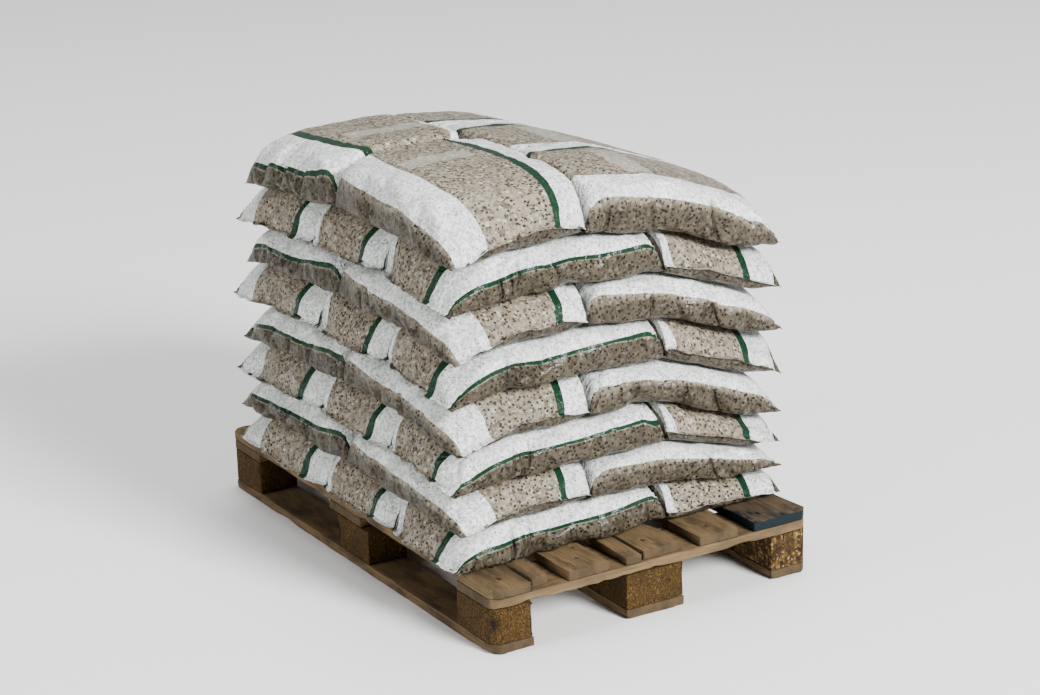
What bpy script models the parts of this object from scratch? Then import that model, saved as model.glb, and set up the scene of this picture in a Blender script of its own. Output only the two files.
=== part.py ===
"""Loaded pallet: forty film sacks of gravel, eight layers of five, on a 1200 x 800 mm wooden pallet.

Metres, +Z up. X runs along the pallet's long side and Y along its short side. The origin is the
middle of the pallet's underside.
"""
import bpy
import bmesh
from mathutils import Vector

# Pallet
LENGTH = 1.200
WIDTH = 0.800
WIDE = 0.145
NARROW = 0.100
BOARD = 0.022
BLOCK = 0.078
CHAMFER = 0.018
SEAT = 0.0003
STRINGER_SLIP = 0.035
AT_CORNER = 0.0001

# Drying splits at the +X ends of deck boards: board, place along Y, length, mouth and lean
SPLITS = ((1, -0.300, 0.150, 0.0050, 0.006), (3, -0.030, 0.190, 0.0030, -0.004))
SPLIT_TIP = 0.0008
SPLIT_OVERCUT = 0.010

# Load
LAYERS = 8
LAYER_RISE = 0.098
STACK_X1 = 0.505
STACK_Y0 = -0.420
STACK_Y1 = 0.405
CROSS_LENGTH = 0.520
PAIR_WIDTH = 0.330
# The far end of each layer, from the deck up: the stack leans in a little as it rises
FAR_ENDS = (-0.525, -0.510, -0.515, -0.477, -0.518, -0.443, -0.477, -0.423)
# Where sacks meet along X: in a layer's pair, and in its trio, for even and for odd layers.
# Each sack of a trio lies on its neighbour's edge, so the far one shows widest
PAIR_SPLIT = 0.010
TRIO_SPLITS = ((-0.135, 0.185), (-0.095, 0.215))

DECK = 2 * BOARD + BLOCK + BOARD
BLOCK_BASE = BOARD
STRINGER_BASE = BOARD + BLOCK
DECK_BASE = STRINGER_BASE + BOARD

# How far a joint between layers sinks below level, from one edge of the load to the other
SINK_X = ((-0.530, 0.045), (-0.330, 0.0), (0.300, 0.0), (0.510, 0.024))
SINK_Y = ((-0.435, 0.018), (-0.300, 0.0), (0.100, 0.0), (0.200, 0.034), (0.320, 0.078), (0.435, 0.098))
SETTLE_PER_LAYER = 0.35
# The load also leans towards -X and +Y, a little more with every layer
LEAN_X = ((-0.530, 0.062), (-0.330, 0.042), (0.000, 0.010), (0.300, 0.0))
LEAN_Y = ((-0.435, 0.0), (-0.100, 0.0), (0.100, 0.022), (0.435, 0.022))
LEAN_GROWTH = 2

# The sack's skin has four rows, at these heights on the cage. Each kind of edge gives every row
# its height above the joint below and its inset
SKIN_ROWS = (-1.0, -0.4, 0.3, 1.0)
LONG_SIDE = ((0.005, 0.022), (0.032, 0.000), (0.062, 0.005), (0.089, 0.022))
FRONT_END = ((0.012, 0.045), (0.035, 0.003), (0.056, 0.012), (0.086, 0.045))
HANGING_END = ((0.003, 0.020), (0.016, 0.002), (0.050, 0.012), (0.087, 0.045))
PRESSED = ((0.006, 0.018), (0.033, 0.000), (0.064, 0.002), (0.090, 0.009))
BELLY = 0.003
# A free corner is drawn in towards the sack's middle
CORNER_TUCK = 0.014

# Share of the cage's half size beyond which a point is on the sack's edge
ON_EDGE = 0.999
# Where the sack's faces fold near its ends and sides, and the crown's fold, as shares of half its size
END_FOLD = 0.72
SIDE_FOLD = 0.70
CROWN_FOLD = 0.55
CLEAR_OF_FOLD = 0.05

# The top layer has nothing on it, so its sacks crown and fall away to their edges,
# except where they are pressed together
CROWN = 0.018
CROWN_END_FALL = 0.036
CROWN_SIDE_FALL = 0.024
CROWN_PRESSED_FALL = 0.010
CROWN_EDGE = 0.80


def clear_scene():
    for obj in list(bpy.data.objects):
        bpy.data.objects.remove(obj)


def make_material(name, colour, roughness):
    material = bpy.data.materials.new(name)
    material.use_nodes = True
    shader = material.node_tree.nodes["Principled BSDF"]
    shader.inputs["Base Color"].default_value = (*colour, 1.0)
    shader.inputs["Roughness"].default_value = roughness
    material.diffuse_color = (*colour, 1.0)
    return material


def make_collection(name):
    collection = bpy.data.collections.new(name)
    bpy.context.scene.collection.children.link(collection)
    return collection


def add_object(name, bm, material, collection):
    mesh = bpy.data.meshes.new(name)
    bm.to_mesh(mesh)
    bm.free()
    mesh.materials.append(material)
    obj = bpy.data.objects.new(name, mesh)
    collection.objects.link(obj)
    return obj


def box_mesh(low, high):
    """A box between two corners, its vertical edges cut off where it reaches a corner of the pallet."""
    bm = bmesh.new()
    bmesh.ops.create_cube(bm, size=1.0)
    low, high = Vector(low), Vector(high)
    for vert in bm.verts:
        for axis in range(3):
            share = vert.co[axis] + 0.5
            vert.co[axis] = low[axis] + share * (high[axis] - low[axis])
    corners = []
    for edge in bm.edges:
        a, b = edge.verts
        upright = abs(a.co.x - b.co.x) < AT_CORNER and abs(a.co.y - b.co.y) < AT_CORNER
        at_corner = abs(a.co.x) > LENGTH / 2 - AT_CORNER and abs(a.co.y) > WIDTH / 2 - AT_CORNER
        if upright and at_corner:
            corners.append(edge)
    if corners:
        bmesh.ops.bevel(bm, geom=corners, offset=CHAMFER, segments=1, affect="EDGES")
    return bm


def rows_across():
    """The deck boards' middles and widths, from the -Y side."""
    widths = (WIDE, NARROW, WIDE, NARROW, WIDE)
    gap = (WIDTH - sum(widths)) / (len(widths) - 1)
    start = -WIDTH / 2
    rows = []
    for width in widths:
        rows.append((start + width / 2, width))
        start += width + gap
    return rows


def block_columns():
    """Middles of the block rows along X, and (middle, width) of the block rows along Y."""
    xs = (-LENGTH / 2 + WIDE / 2, 0.0, LENGTH / 2 - WIDE / 2)
    edge = WIDTH / 2 - NARROW / 2
    ys = ((-edge, NARROW), (0.0, WIDE), (edge, NARROW))
    return xs, ys


def split_cutter(name, y, length, mouth, lean, collection):
    """An upright wedge that opens a drying split from a board's end inwards."""
    bm = bmesh.new()
    bmesh.ops.create_cube(bm, size=1.0)
    for vert in bm.verts:
        inner = vert.co.x < 0
        half = (SPLIT_TIP if inner else mouth) / 2
        side = 1 if vert.co.y > 0 else -1
        vert.co.x = LENGTH / 2 + (-length if inner else SPLIT_OVERCUT)
        vert.co.y = y + side * half + (lean if inner else 0.0)
        vert.co.z = DECK_BASE - SPLIT_OVERCUT if vert.co.z < 0 else DECK + SPLIT_OVERCUT
    mesh = bpy.data.meshes.new(name)
    bm.to_mesh(mesh)
    bm.free()
    cutter = bpy.data.objects.new(name, mesh)
    cutter.hide_render = True
    cutter.display_type = "WIRE"
    collection.objects.link(cutter)
    return cutter


def cut(obj, cutter):
    modifier = obj.modifiers.new("split", "BOOLEAN")
    modifier.operation = "DIFFERENCE"
    modifier.object = cutter
    modifier.solver = "EXACT"


def make_pallet(collection, cutters, wood, painted, chips):
    xs, ys = block_columns()
    for index, (y, width) in enumerate(ys, start=1):
        low = (-LENGTH / 2, y - width / 2, 0.0)
        high = (LENGTH / 2, y + width / 2, BOARD)
        add_object(f"bottom_board_{index}", box_mesh(low, high), wood, collection)
    for row, x in enumerate(xs, start=1):
        for column, (y, width) in enumerate(ys, start=1):
            low = (x - WIDE / 2, y - width / 2, BLOCK_BASE + SEAT)
            high = (x + WIDE / 2, y + width / 2, STRINGER_BASE)
            add_object(f"block_{row}_{column}", box_mesh(low, high), chips, collection)
    for row, x in enumerate(xs, start=1):
        middle = x - STRINGER_SLIP if row == 2 else x
        low = (middle - WIDE / 2, -WIDTH / 2, STRINGER_BASE + SEAT)
        high = (middle + WIDE / 2, WIDTH / 2, DECK_BASE)
        add_object(f"stringer_board_{row}", box_mesh(low, high), wood, collection)
    rows = rows_across()
    for index, (y, width) in enumerate(rows, start=1):
        low = (-LENGTH / 2, y - width / 2, DECK_BASE + SEAT)
        high = (LENGTH / 2, y + width / 2, DECK)
        finish = painted if index == len(rows) else wood
        board = add_object(f"deck_board_{index}", box_mesh(low, high), finish, collection)
        for number, *split in SPLITS:
            if number == index:
                cut(board, split_cutter(f"split_{number}", *split, cutters))


def along(points, where):
    """Straight-line reading of a list of (place, value)."""
    for (a, low), (b, high) in zip(points, points[1:]):
        if where <= b:
            share = max(0.0, (where - a) / (b - a))
            return low + share * (high - low)
    return points[-1][1]


def joint_height(level, x, y):
    """Height of the joint above layer number level; 0 is the deck."""
    settle = min(1.0, level * SETTLE_PER_LAYER)
    lean = (level / LAYERS) ** LEAN_GROWTH
    sink = settle * (along(SINK_X, x) + along(SINK_Y, y)) + lean * (along(LEAN_X, x) + along(LEAN_Y, y))
    return DECK + level * LAYER_RISE - sink


def fold_shares(folds, middle, half, outer, extra):
    """Where a sack is creased along one axis: near its edges, on the joints' folds and at the extra shares."""
    shares = [-outer, outer]
    wanted = [(place - middle) / half for place, _ in folds] + list(extra)
    for share in wanted:
        if all(abs(share - other) > CLEAR_OF_FOLD for other in shares) and abs(share) < outer:
            shares.append(share)
    return shares


def edge_kind(axis, share, long_axis, free):
    """The rows of heights and insets for the edge of the sack that a share near -1 or 1 belongs to."""
    if not free[2 * axis + (share > 0)]:
        return PRESSED
    if axis != long_axis:
        return LONG_SIDE
    return FRONT_END if axis == 0 and share > 0 else HANGING_END


def crown_fall(axis, share, long_axis, free):
    """How far the top layer's skin falls towards an edge."""
    kind = edge_kind(axis, share, long_axis, free)
    fall = CROWN_SIDE_FALL if axis != long_axis else CROWN_END_FALL
    return (CROWN_PRESSED_FALL if kind is PRESSED else fall) * abs(share) ** 3


def skin_height(layer, place, row, edge, shares, long_axis, free):
    """Height of a point of the skin. It is a sum of a part along X and a part along Y, so faces stay flat.

    edge holds the rows of the edge that the point is on, or None.
    """
    low = joint_height(layer - 1, *place) + SEAT
    belly = BELLY * (shares[0] ** 2 + shares[1] ** 2) / 2
    gained = edge[row][0] if edge else 0.0
    if row == 0:
        return low + belly + gained
    if row < len(SKIN_ROWS) - 1:
        return low + gained * (CROWN_EDGE if layer == LAYERS and row == 2 else 1.0)
    if layer == LAYERS:
        falls = [crown_fall(axis, share, long_axis, free) for axis, share in enumerate(shares)]
        return joint_height(layer, *place) + CROWN - sum(falls)
    return joint_height(layer, *place) - belly - (LAYER_RISE - gained if edge else 0.0)


def sack_mesh(layer, x0, x1, y0, y1, long_axis, free):
    """A filled sack between two joints of the stack.

    A cube is cut along the joints' fold lines, and each of its points is then moved to the sack's skin.
    free says whether its -X, +X, -Y and +Y sides are on the outside of the load.
    """
    middle = Vector(((x0 + x1) / 2, (y0 + y1) / 2))
    half = Vector(((x1 - x0) / 2, (y1 - y0) / 2))
    extra = (-CROWN_FOLD, 0.0, CROWN_FOLD) if layer == LAYERS else (0.0,)
    bm = bmesh.new()
    bmesh.ops.create_cube(bm, size=2.0)
    for axis, folds in ((0, SINK_X + LEAN_X), (1, SINK_Y + LEAN_Y)):
        outer = END_FOLD if axis == long_axis else SIDE_FOLD
        for share in fold_shares(folds, middle[axis], half[axis], outer, extra):
            point, normal = Vector((0, 0, 0)), Vector((0, 0, 0))
            point[axis] = share
            normal[axis] = 1.0
            everything = bm.verts[:] + bm.edges[:] + bm.faces[:]
            bmesh.ops.bisect_plane(bm, geom=everything, plane_co=point, plane_no=normal)
    for level in SKIN_ROWS[1:-1]:
        everything = bm.verts[:] + bm.edges[:] + bm.faces[:]
        bmesh.ops.bisect_plane(bm, geom=everything, plane_co=(0, 0, level), plane_no=(0, 0, 1))
    for vert in bm.verts:
        row = min(range(len(SKIN_ROWS)), key=lambda number: abs(SKIN_ROWS[number] - vert.co.z))
        shares = vert.co.x, vert.co.y
        on_edge = [abs(share) > ON_EDGE for share in shares]
        place = [middle[0] + vert.co.x * half[0], middle[1] + vert.co.y * half[1]]
        for axis, share in enumerate(shares):
            if on_edge[axis]:
                inset = edge_kind(axis, share, long_axis, free)[row][1]
                if all(on_edge) and free[2 * axis + (share > 0)]:
                    inset += CORNER_TUCK
                place[axis] -= (1 if share > 0 else -1) * inset
        edge = None
        for axis in (1 - long_axis, long_axis):
            if on_edge[axis]:
                edge = edge_kind(axis, shares[axis], long_axis, free)
        vert.co = (*place, skin_height(layer, place, row, edge, shares, long_axis, free))
    bmesh.ops.recalc_face_normals(bm, faces=bm.faces)
    return bm


def layer_places(layer):
    """Plan boxes (x0, x1, y0, y1, long axis, free sides) of a layer's sacks; alternate layers are turned."""
    turned = layer % 2 == 0
    near_end = STACK_Y0 + (PAIR_WIDTH if turned else CROSS_LENGTH)
    pair = (STACK_Y0, near_end) if turned else (near_end, STACK_Y1)
    trio = (near_end, STACK_Y1) if turned else (STACK_Y0, near_end)
    far_end = FAR_ENDS[layer - 1]
    gap = SEAT / 2
    places = []
    rows = (((PAIR_SPLIT,), pair, 0, turned), (TRIO_SPLITS[layer % 2], trio, 1, not turned))
    for splits, (y0, y1), long_axis, at_front in rows:
        edges = (far_end, *splits, STACK_X1)
        for x0, x1 in zip(edges, edges[1:]):
            free = (x0 == far_end, x1 == STACK_X1, at_front, not at_front)
            places.append((x0 + gap, x1 - gap, y0 + gap, y1 - gap, long_axis, free))
    return places


def make_sacks(collection, film):
    for layer in range(1, LAYERS + 1):
        for index, place in enumerate(layer_places(layer), start=1):
            bm = sack_mesh(layer, *place)
            sack = add_object(f"sack_{layer}_{index}", bm, film, collection)
            sack.data.shade_smooth()


def main():
    clear_scene()
    collection = make_collection("pallet_of_sacks")
    cutters = make_collection("cutters")
    wood = make_material("weathered_wood", (0.20, 0.145, 0.09), 0.8)
    painted = make_material("painted_wood", (0.07, 0.075, 0.07), 0.75)
    chips = make_material("pressed_chips", (0.25, 0.16, 0.07), 0.85)
    film = make_material("sack_film", (0.52, 0.53, 0.49), 0.4)
    make_pallet(collection, cutters, wood, painted, chips)
    make_sacks(collection, film)


main()
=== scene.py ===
"""A pallet of gravel sacks, dressed for rendering around its fixed CAD frame."""

# %% [markdown]
# # A pallet of gravel sacks
#
# A garden centre buys gravel as forty film sacks on one wooden pallet. Two very different things have to
# look right here: heavy, slippery, creased plastic film, and worn sawn wood. The CAD part already fixes
# where every sack and every board is. This notebook keeps those places and gives each piece its real
# surface. The first cell loads the frame, and the last one prints the size of the dressed model.

# %% Load the frame
import math

import bpy
import numpy as np
from mathutils import Matrix, Vector


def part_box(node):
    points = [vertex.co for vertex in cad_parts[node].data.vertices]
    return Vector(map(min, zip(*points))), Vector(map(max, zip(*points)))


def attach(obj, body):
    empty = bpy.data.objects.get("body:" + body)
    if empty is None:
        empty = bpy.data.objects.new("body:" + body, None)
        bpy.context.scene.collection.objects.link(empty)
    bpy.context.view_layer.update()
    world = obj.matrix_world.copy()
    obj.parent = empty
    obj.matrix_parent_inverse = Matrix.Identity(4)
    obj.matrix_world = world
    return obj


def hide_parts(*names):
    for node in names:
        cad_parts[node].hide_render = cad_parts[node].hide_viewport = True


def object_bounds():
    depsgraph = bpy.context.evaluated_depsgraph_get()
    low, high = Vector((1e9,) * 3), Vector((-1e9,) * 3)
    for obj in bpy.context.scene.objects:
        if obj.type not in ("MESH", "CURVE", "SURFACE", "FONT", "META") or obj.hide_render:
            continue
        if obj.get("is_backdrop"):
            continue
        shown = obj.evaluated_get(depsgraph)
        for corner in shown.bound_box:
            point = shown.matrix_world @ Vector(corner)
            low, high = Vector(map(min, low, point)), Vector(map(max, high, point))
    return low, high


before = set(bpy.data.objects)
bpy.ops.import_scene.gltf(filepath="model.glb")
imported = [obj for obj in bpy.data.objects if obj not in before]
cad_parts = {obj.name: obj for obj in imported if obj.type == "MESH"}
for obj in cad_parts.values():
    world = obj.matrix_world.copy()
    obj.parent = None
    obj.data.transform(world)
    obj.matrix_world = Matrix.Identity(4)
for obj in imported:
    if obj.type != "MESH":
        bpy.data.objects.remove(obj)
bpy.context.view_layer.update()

# %% [markdown]
# ## The camera
#
# The photograph looks down a little on the corner between the long side and the end of the pallet. A
# camera can be placed by dragging it about, but a measured camera is better: the pallet is a standard
# 1200 x 800 mm one, so its corners in the picture give the lens, the distance and the tilt. The camera
# is then set from those numbers by building its three axes, which avoids any muddle with angle orders.

# %% Camera
PHOTO_WIDTH = 1040
SENSOR = 36.0
FOCAL_IN_PIXELS = 2822.19
CAMERA_AT = Vector((5.1548, -3.0519, 2.3908))
CAMERA_TURN, CAMERA_HEIGHT, CAMERA_ROLL = (math.radians(v) for v in (59.0159, 18.1491, -1.5615))


def add_object(name, data):
    obj = bpy.data.objects.new(name, data)
    bpy.context.scene.collection.objects.link(obj)
    return obj


back = Vector((math.sin(CAMERA_TURN) * math.cos(CAMERA_HEIGHT),
               -math.cos(CAMERA_TURN) * math.cos(CAMERA_HEIGHT), math.sin(CAMERA_HEIGHT)))
level_right = (-back).cross(Vector((0, 0, 1))).normalized()
level_up = level_right.cross(-back)
right = math.cos(CAMERA_ROLL) * level_right + math.sin(CAMERA_ROLL) * level_up
up = math.cos(CAMERA_ROLL) * level_up - math.sin(CAMERA_ROLL) * level_right

camera = add_object("camera", bpy.data.cameras.new("camera"))
camera.data.sensor_width = SENSOR
camera.data.lens = SENSOR * FOCAL_IN_PIXELS / PHOTO_WIDTH
camera.matrix_world = Matrix.Translation(CAMERA_AT) @ Matrix((right, up, back)).transposed().to_4x4()
bpy.context.scene.camera = camera
print("camera lens", round(camera.data.lens, 2), "mm")

# %% [markdown]
# ## Floor and light
#
# The picture was taken on white, under large soft lamps. The end of the stack is the bright side, the long
# side is a step darker and the top lies between. So the strongest lamp stands to the right, a weaker one
# fills the left and a third hangs overhead. All three are large and far away, which keeps the floor even.
# The sky is dim on purpose: a bright one would fill the gaps between the sacks and grey the glossy film.

# %% Floor and lamps
FLOOR_SIZE = 30.0


def add_lamp(name, place, target, size, power):
    lamp = bpy.data.lights.new(name, "AREA")
    lamp.shape = "DISK"
    lamp.size = size
    lamp.energy = power
    obj = add_object(name, lamp)
    obj.location = place
    obj.rotation_euler = (Vector(target) - Vector(place)).to_track_quat("-Z", "Y").to_euler()


add_lamp("key", (11.0, 2.4, 6.6), (0, 0, 0.6), 4.0, 4700)
add_lamp("fill", (-1.5, -11.5, 4.6), (0, 0, 0.5), 5.0, 950)
add_lamp("overhead", (-1.5, 1.0, 11.0), (0, 0, 0.8), 6.0, 950)

world = bpy.data.worlds.new("studio")
world.use_nodes = True
world.node_tree.nodes["Background"].inputs["Color"].default_value = (0.97, 0.98, 1.0, 1.0)
world.node_tree.nodes["Background"].inputs["Strength"].default_value = 0.38
bpy.context.scene.world = world

half = FLOOR_SIZE / 2
floor_mesh = bpy.data.meshes.new("floor")
floor_mesh.from_pydata([(-half, -half, 0), (half, -half, 0), (half, half, 0), (-half, half, 0)], [], [(0, 1, 2, 3)])
floor = add_object("floor", floor_mesh)
paper = bpy.data.materials.new("paper")
paper.use_nodes = True
paper.node_tree.nodes["Principled BSDF"].inputs["Base Color"].default_value = (0.80, 0.80, 0.79, 1.0)
paper.node_tree.nodes["Principled BSDF"].inputs["Roughness"].default_value = 0.9
floor.data.materials.append(paper)
floor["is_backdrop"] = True
print("three lamps and a floor")

# %% [markdown]
# ## A short way to write shader nodes
#
# Every surface here is procedural, so the materials are long chains of small nodes. Writing each one out
# with its links hides the idea. A small class that makes a node, feeds its inputs and returns its
# output keeps each material readable: numbers go into sockets, outputs become links.

# %% Shader helper


class Shader:
    """A node material that is written like a calculation."""

    def __init__(self, name):
        self.material = bpy.data.materials.new(name)
        self.material.use_nodes = True
        self.tree = self.material.node_tree
        self.surface = self.tree.nodes["Principled BSDF"]

    def feed(self, socket, value):
        if isinstance(value, bpy.types.NodeSocket):
            self.tree.links.new(value, socket)
        elif isinstance(value, tuple) and len(value) == 3 and socket.type == "RGBA":
            socket.default_value = (*value, 1.0)
        else:
            socket.default_value = value

    def node(self, kind, settings=None, **inputs):
        node = self.tree.nodes.new("ShaderNode" + kind)
        for name, value in (settings or {}).items():
            setattr(node, name, value)
        for name, value in inputs.items():
            self.feed(node.inputs[name.replace("_", " ")], value)
        return node

    def math(self, operation, first, second=0.5, third=0.0):
        node = self.node("Math", {"operation": operation})
        for socket, value in zip(node.inputs, (first, second, third)):
            self.feed(socket, value)
        return node.outputs[0]

    def mix(self, share, first, second, blend="MIX"):
        node = self.node("Mix", {"data_type": "RGBA", "blend_type": blend})
        for socket, value in zip((node.inputs[0], node.inputs[6], node.inputs[7]), (share, first, second)):
            self.feed(socket, value)
        return node.outputs[2]

    def step(self, value, start, end, low=0.0, high=1.0):
        """low below start, high above end, and a smooth change between them."""
        node = self.node("MapRange", {"interpolation_type": "SMOOTHSTEP"})
        for name, number in (("Value", value), ("From Min", start), ("From Max", end),
                             ("To Min", low), ("To Max", high)):
            self.feed(node.inputs[name], number)
        return node.outputs["Result"]

    def ramp(self, value, stops):
        node = self.node("ValToRGB", Fac=value)
        band = node.color_ramp
        while len(band.elements) < len(stops):
            band.elements.new(0.5)
        for element, (place, colour) in zip(band.elements, stops):
            element.position = place
            element.color = (*colour, 1.0)
        return node.outputs["Color"]

    def attribute(self, name):
        return self.node("Attribute", {"attribute_name": name}).outputs["Vector"]

    def split(self, vector):
        return self.node("SeparateXYZ", Vector=vector).outputs

    def scaled(self, vector, scale, shift=(0.0, 0.0, 0.0)):
        return self.node("Mapping", Vector=vector, Scale=scale, Location=shift).outputs[0]

    def noise(self, vector, scale, detail=2.0, rough=0.5, twist=0.0):
        node = self.node("TexNoise", Vector=vector, Scale=scale, Detail=detail, Roughness=rough, Distortion=twist)
        return node.outputs["Fac"]

    def cells(self, vector, scale):
        return self.node("TexVoronoi", Vector=vector, Scale=scale)

    def bump(self, height, distance, strength):
        return self.node("Bump", Height=height, Distance=distance, Strength=strength).outputs[0]

    def finish(self, **inputs):
        for name, value in inputs.items():
            self.feed(self.surface.inputs[name.replace("_", " ")], value)
        return self.material


print("shader helper ready")

# %% [markdown]
# ## The film
#
# Each sack is a tube of polythene printed on one half and clear on the other, so the gravel shows through
# the window on top and all over the underside. The print is a matter of place on the film, not
# on the sack's shape, so the film carries its own flat coordinates in metres: u along the sack, v round
# the tube. A stripe is then a range of v, and it stays on the film however the sack is squashed.
#
# Round the tube come a thin green line under the first fold, a white speckled band, a dark green stripe, the
# clear window with a milky patch in it, and a second white band. The helper below cuts such ranges out.

# %% Film layout
FILM_LENGTH = 0.575
FILM_WIDTH = 0.405
LINE_START, LINE_END = 0.015, 0.0215
STRIPE_START, STRIPE_END = 0.098, 0.118
WINDOW_END = 0.300
BAND_END = 0.386
MILKY_U, MILKY_V = (0.322, 0.388), (0.142, 0.290)
EDGE_SOFT = 0.0004


def within(s, value, start, end, soft=EDGE_SOFT):
    """1 between start and end, 0 outside, with softly printed edges."""
    return s.math("MULTIPLY", s.step(value, start - soft, start + soft),
                  s.step(value, end - soft, end + soft, 1.0, 0.0))


print("film: window", round(WINDOW_END - STRIPE_END, 3), "m wide")

# %% [markdown]
# ## Gravel behind the film
#
# Behind clear film the stones are pressed flat, so they are seen as close beige patches with dark stones
# scattered between them. Modelling some ten thousand stones a sack would be waste. Two cell textures do it: one
# gives each stone its tone, the other drops a dark stone into some of them. Both are read at the point in
# space, kept in the attribute "solid", so a stone stays round wherever the film is stretched. Below the
# folds the film is turned from the light, so the same gravel is darkened there with painted shade.

# %% Gravel
STONE, SPECK = 0.0075, 0.0092


def dark_stones(s, solid, wobble):
    cells = s.cells(s.scaled(solid, (1.0, 1.0, 1.0), (3.1, 1.7, 0.9)), 1 / SPECK)
    return s.step(s.math("ADD", cells.outputs["Distance"], wobble), 0.28, 0.36, 0.97, 0.0)


def gravel_colour(s, v, own, solid, stones, wobble):
    tone = s.node("SeparateColor", Color=stones.outputs["Color"])
    pebble = s.ramp(tone.outputs[0], [
        (0.0, (0.095, 0.075, 0.051)), (0.30, (0.200, 0.167, 0.120)), (0.60, (0.270, 0.232, 0.173)),
        (0.85, (0.195, 0.175, 0.140)), (1.0, (0.430, 0.386, 0.310))])
    seams = s.step(stones.outputs["Distance"], 0.50, 0.90, 0.0, 0.45)
    pebble = s.mix(seams, pebble, (0.035, 0.027, 0.018))
    pebble = s.mix(dark_stones(s, solid, wobble), pebble, (0.008, 0.006, 0.005))
    dust = s.step(s.noise(own, 8.0, 3.0), 0.35, 0.75, 0.0, 0.22)
    gravel = s.mix(dust, pebble, (0.225, 0.198, 0.152))
    # Painted shade: gravel past the second fold and in the strip at the first fold is darkened, as it faces away
    # from the light.
    shade_past_second_fold = s.step(v, BAND_END - 0.004, BAND_END + 0.016)
    shade_at_first_fold = s.step(v, 0.012, 0.016, 1.0, 0.0)
    return s.mix(s.math("MAXIMUM", shade_past_second_fold, shade_at_first_fold), gravel, (0.26, 0.248, 0.225), "MULTIPLY")


print("stones", round(STONE * 1000, 1), "mm, dark ones every", round(SPECK * 1000, 1), "mm")

# %% [markdown]
# ## White print
#
# The white ink is thin. Stones press through it as a grey mottle, with small grey dots where one touches
# the film. A clean white would look like paper, so three layers of noise and a cell texture break it up.

# %% White print
DOT = 0.0066


def white_print(s, solid, wobble):
    dots = s.cells(s.scaled(solid, (1.0, 1.0, 1.0), (5.3, 2.2, 0.4)), 1 / DOT)
    dot = s.step(s.math("ADD", dots.outputs["Distance"], wobble), 0.22, 0.31, 0.88, 0.0)
    thin = s.step(s.noise(solid, 45.0, 2.0), 0.38, 0.60, 0.20, 1.0)
    fine = s.step(s.noise(solid, 130.0, 3.0, 0.6), 0.43, 0.60, 0.0, 0.78)
    broad = s.step(s.noise(solid, 14.0, 2.0), 0.40, 0.65, 0.0, 0.35)
    white = s.mix(fine, (0.70, 0.73, 0.70), (0.33, 0.35, 0.335))
    white = s.mix(broad, white, (0.34, 0.36, 0.345))
    return s.mix(s.math("MULTIPLY", dot, thin), white, (0.070, 0.075, 0.070))


print("white print ready")

# %% [markdown]
# ## Creases and crinkles
#
# A full sack bends over the one below, and its film pleats across the folds. The sacks have up to six
# such creases each, and a thin line of painted shade darkens each one. A distance that is stored at
# vertices can't show a line thinner than the mesh, unless it is signed: then it passes through zero between
# two vertices, and the shader finds the line exactly. Each sack carries six signed distances and six depths,
# in four vector attributes. Finer crinkles are noise, stretched across the folds and the welds and strongest
# near them.

# %% Creases and crinkles
CREASE_GROUPS = 2
CREASE_SHADE_WIDTH, FURROW_WIDTH = 0.0022, 0.008


def crease_shade_and_furrows(s):
    """How much painted shade darkens the creases here, and how deep their furrows are."""
    crease_shade, furrow = 0.0, 0.0
    for group in range(CREASE_GROUPS):
        offs, depths = (s.split(s.attribute(f"{kind}_{group}")) for kind in ("crease", "depth"))
        for off, strength in zip(offs, depths):
            gap = s.math("ABSOLUTE", off)
            # dark is the line of painted shade along a crease, deep is the furrow for the bump.
            dark, deep = s.step(gap, 0.0, CREASE_SHADE_WIDTH, 0.85, 0.0), s.step(gap, 0.0, FURROW_WIDTH, 5.0, 0.0)
            crease_shade = s.math("MAXIMUM", s.math("MULTIPLY", dark, strength), crease_shade)
            furrow = s.math("MAXIMUM", s.math("MULTIPLY", deep, strength), furrow)
    return crease_shade, furrow


def film_relief(s, u, v, own, stones, printed, furrow):
    dome = s.math("SUBTRACT", 1.0, stones.outputs["Distance"])
    fold_near = s.math("MINIMUM", s.math("ABSOLUTE", s.math("SUBTRACT", v, FILM_WIDTH)),
                       s.math("MINIMUM", v, s.math("SUBTRACT", 2 * FILM_WIDTH, v)))
    end_near = s.math("MINIMUM", u, s.math("SUBTRACT", FILM_LENGTH, u))
    down = s.noise(s.scaled(own, (190.0, 16.0, 1.0)), 1.0, 3.0, 0.6, 0.5)
    along = s.noise(s.scaled(own, (15.0, 160.0, 1.0)), 1.0, 3.0, 0.6, 0.5)
    crinkle = s.math("ABSOLUTE", s.math("SUBTRACT", s.noise(own, 34.0, 3.0, 0.55, 1.2), 0.5))
    ripple = s.math("ADD", s.math("MULTIPLY", down, s.step(fold_near, 0.0, 0.05, 0.4, 0.04)),
                    s.math("MULTIPLY", along, s.step(end_near, 0.0, 0.09, 1.3, 0.03)))
    ripple = s.math("SUBTRACT", ripple, s.math("MULTIPLY", crinkle, s.step(end_near, 0.02, 0.13, 8.0, 1.3)))
    press = s.math("MULTIPLY", dome, s.step(printed, 0.0, 1.0, 0.55, 0.30))
    return s.bump(s.math("SUBTRACT", s.math("ADD", ripple, press), furrow), 0.0017, 0.8)


print(3 * CREASE_GROUPS, "creases a sack")

# %% [markdown]
# ## The film put together
#
# The gravel comes first, the white bands and the milky patch go over it, then the green, and the painted
# shade of the creases last of all. The gloss is kept low. Glossy film seen at a low angle mirrors the pale
# floor, and too much of that would hide the stones.

# %% Film material


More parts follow.
